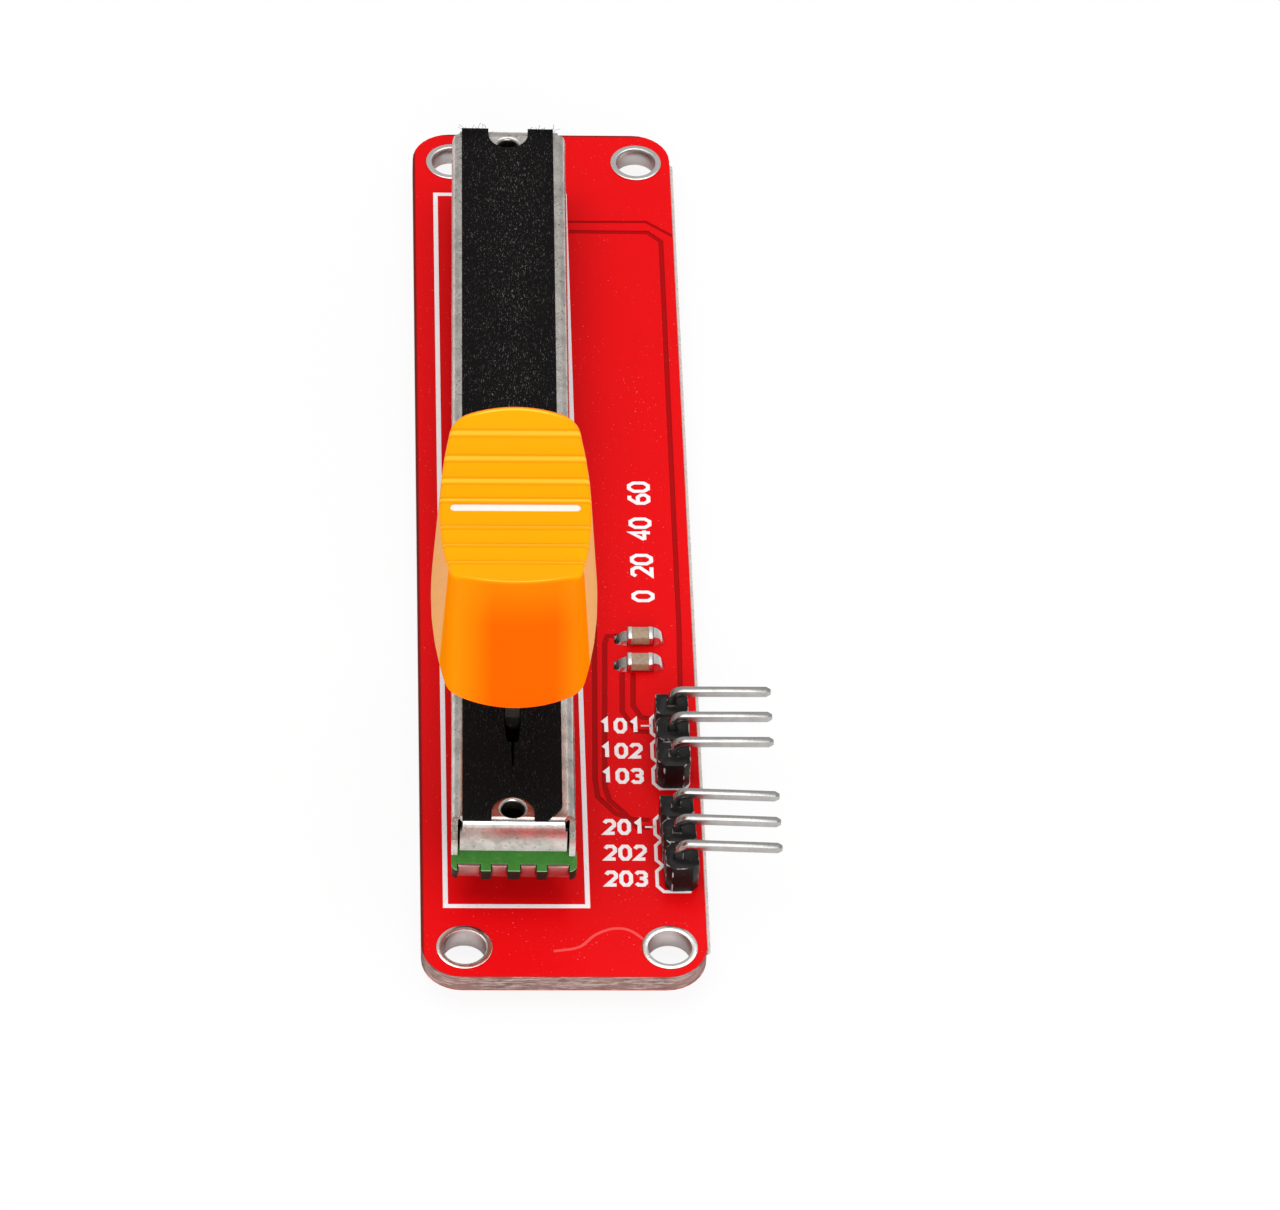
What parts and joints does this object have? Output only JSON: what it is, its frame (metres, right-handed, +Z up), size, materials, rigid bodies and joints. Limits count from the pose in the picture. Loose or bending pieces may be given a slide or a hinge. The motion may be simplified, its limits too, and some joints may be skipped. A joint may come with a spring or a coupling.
{
  "type": "slide potentiometer module",
  "caption": "Linear fader on a red circuit board with right-angle pin headers, an orange fader cap and mounting holes at the corners.",
  "frame": {"origin": "middle of the board's four-hole pattern, on the board's flat underside", "axes": "+Y along the board and the fader, towards the end away from the pin headers; +Z up through the cap; +X towards the header pins' tips"},
  "size_m": [0.0264, 0.09, 0.0319],
  "materials": {
    "solder_mask": "glossy red solder mask over copper, white printed lines",
    "tinned_copper": "tinned copper",
    "cover_steel": "zinc-plated sheet, finely scratched",
    "black_felt": "dense black dust felt",
    "green_laminate": "green laminate",
    "tinned_terminal": "tinned brass strip",
    "black_nylon": "black nylon",
    "lever_steel": "punched steel",
    "spring_bronze": "bright spring bronze",
    "orange_moulding": "glossy orange moulding with stippled sides",
    "header_plastic": "black glass-filled moulding",
    "pin_plating": "tinned square wire",
    "chip_ceramic": "tan ceramic with tinned ends",
    "solder": "bright solder"
  },
  "bodies": {
    "root": {"circuit_board": "solder_mask", "mounting_hole_plating_1": "tinned_copper", "mounting_hole_plating_2": "tinned_copper", "mounting_hole_plating_3": "tinned_copper", "mounting_hole_plating_4": "tinned_copper", "slider_cover": "cover_steel", "dust_felt": "black_felt", "track_wafer": "green_laminate", "fader_terminal_1": "tinned_terminal", "fader_terminal_2": "tinned_terminal", "fader_terminal_3": "tinned_terminal", "fader_terminal_4": "tinned_terminal", "fader_terminal_5": "tinned_terminal", "fader_terminal_6": "tinned_terminal", "header_body_1": "header_plastic", "header_body_2": "header_plastic", "header_pin_1": "pin_plating", "header_pin_2": "pin_plating", "header_pin_3": "pin_plating", "header_pin_4": "pin_plating", "header_pin_5": "pin_plating", "header_pin_6": "pin_plating", "capacitor_1": "chip_ceramic", "capacitor_1_solder_left": "solder", "capacitor_1_solder_right": "solder", "capacitor_2": "chip_ceramic", "capacitor_2_solder_left": "solder", "capacitor_2_solder_right": "solder", "solder_joint_01": "solder", "solder_joint_02": "solder", "solder_joint_03": "solder", "solder_joint_04": "solder", "solder_joint_05": "solder", "solder_joint_06": "solder", "solder_joint_07": "solder", "solder_joint_08": "solder", "solder_joint_09": "solder", "solder_joint_10": "solder", "solder_joint_11": "solder", "solder_joint_12": "solder"},
    "slider": {"slider_carriage": "black_nylon", "slider_lever": "lever_steel", "wiper_spring_left": "spring_bronze", "wiper_spring_right": "spring_bronze", "fader_cap": "orange_moulding"}
  },
  "joints": [
    {"name": "fader_slide", "type": "slide", "parent": "root", "child": "slider", "axis": [0.0119, 0.9999, 0], "range_m": [-0.00503, 0.05497]}
  ]
}
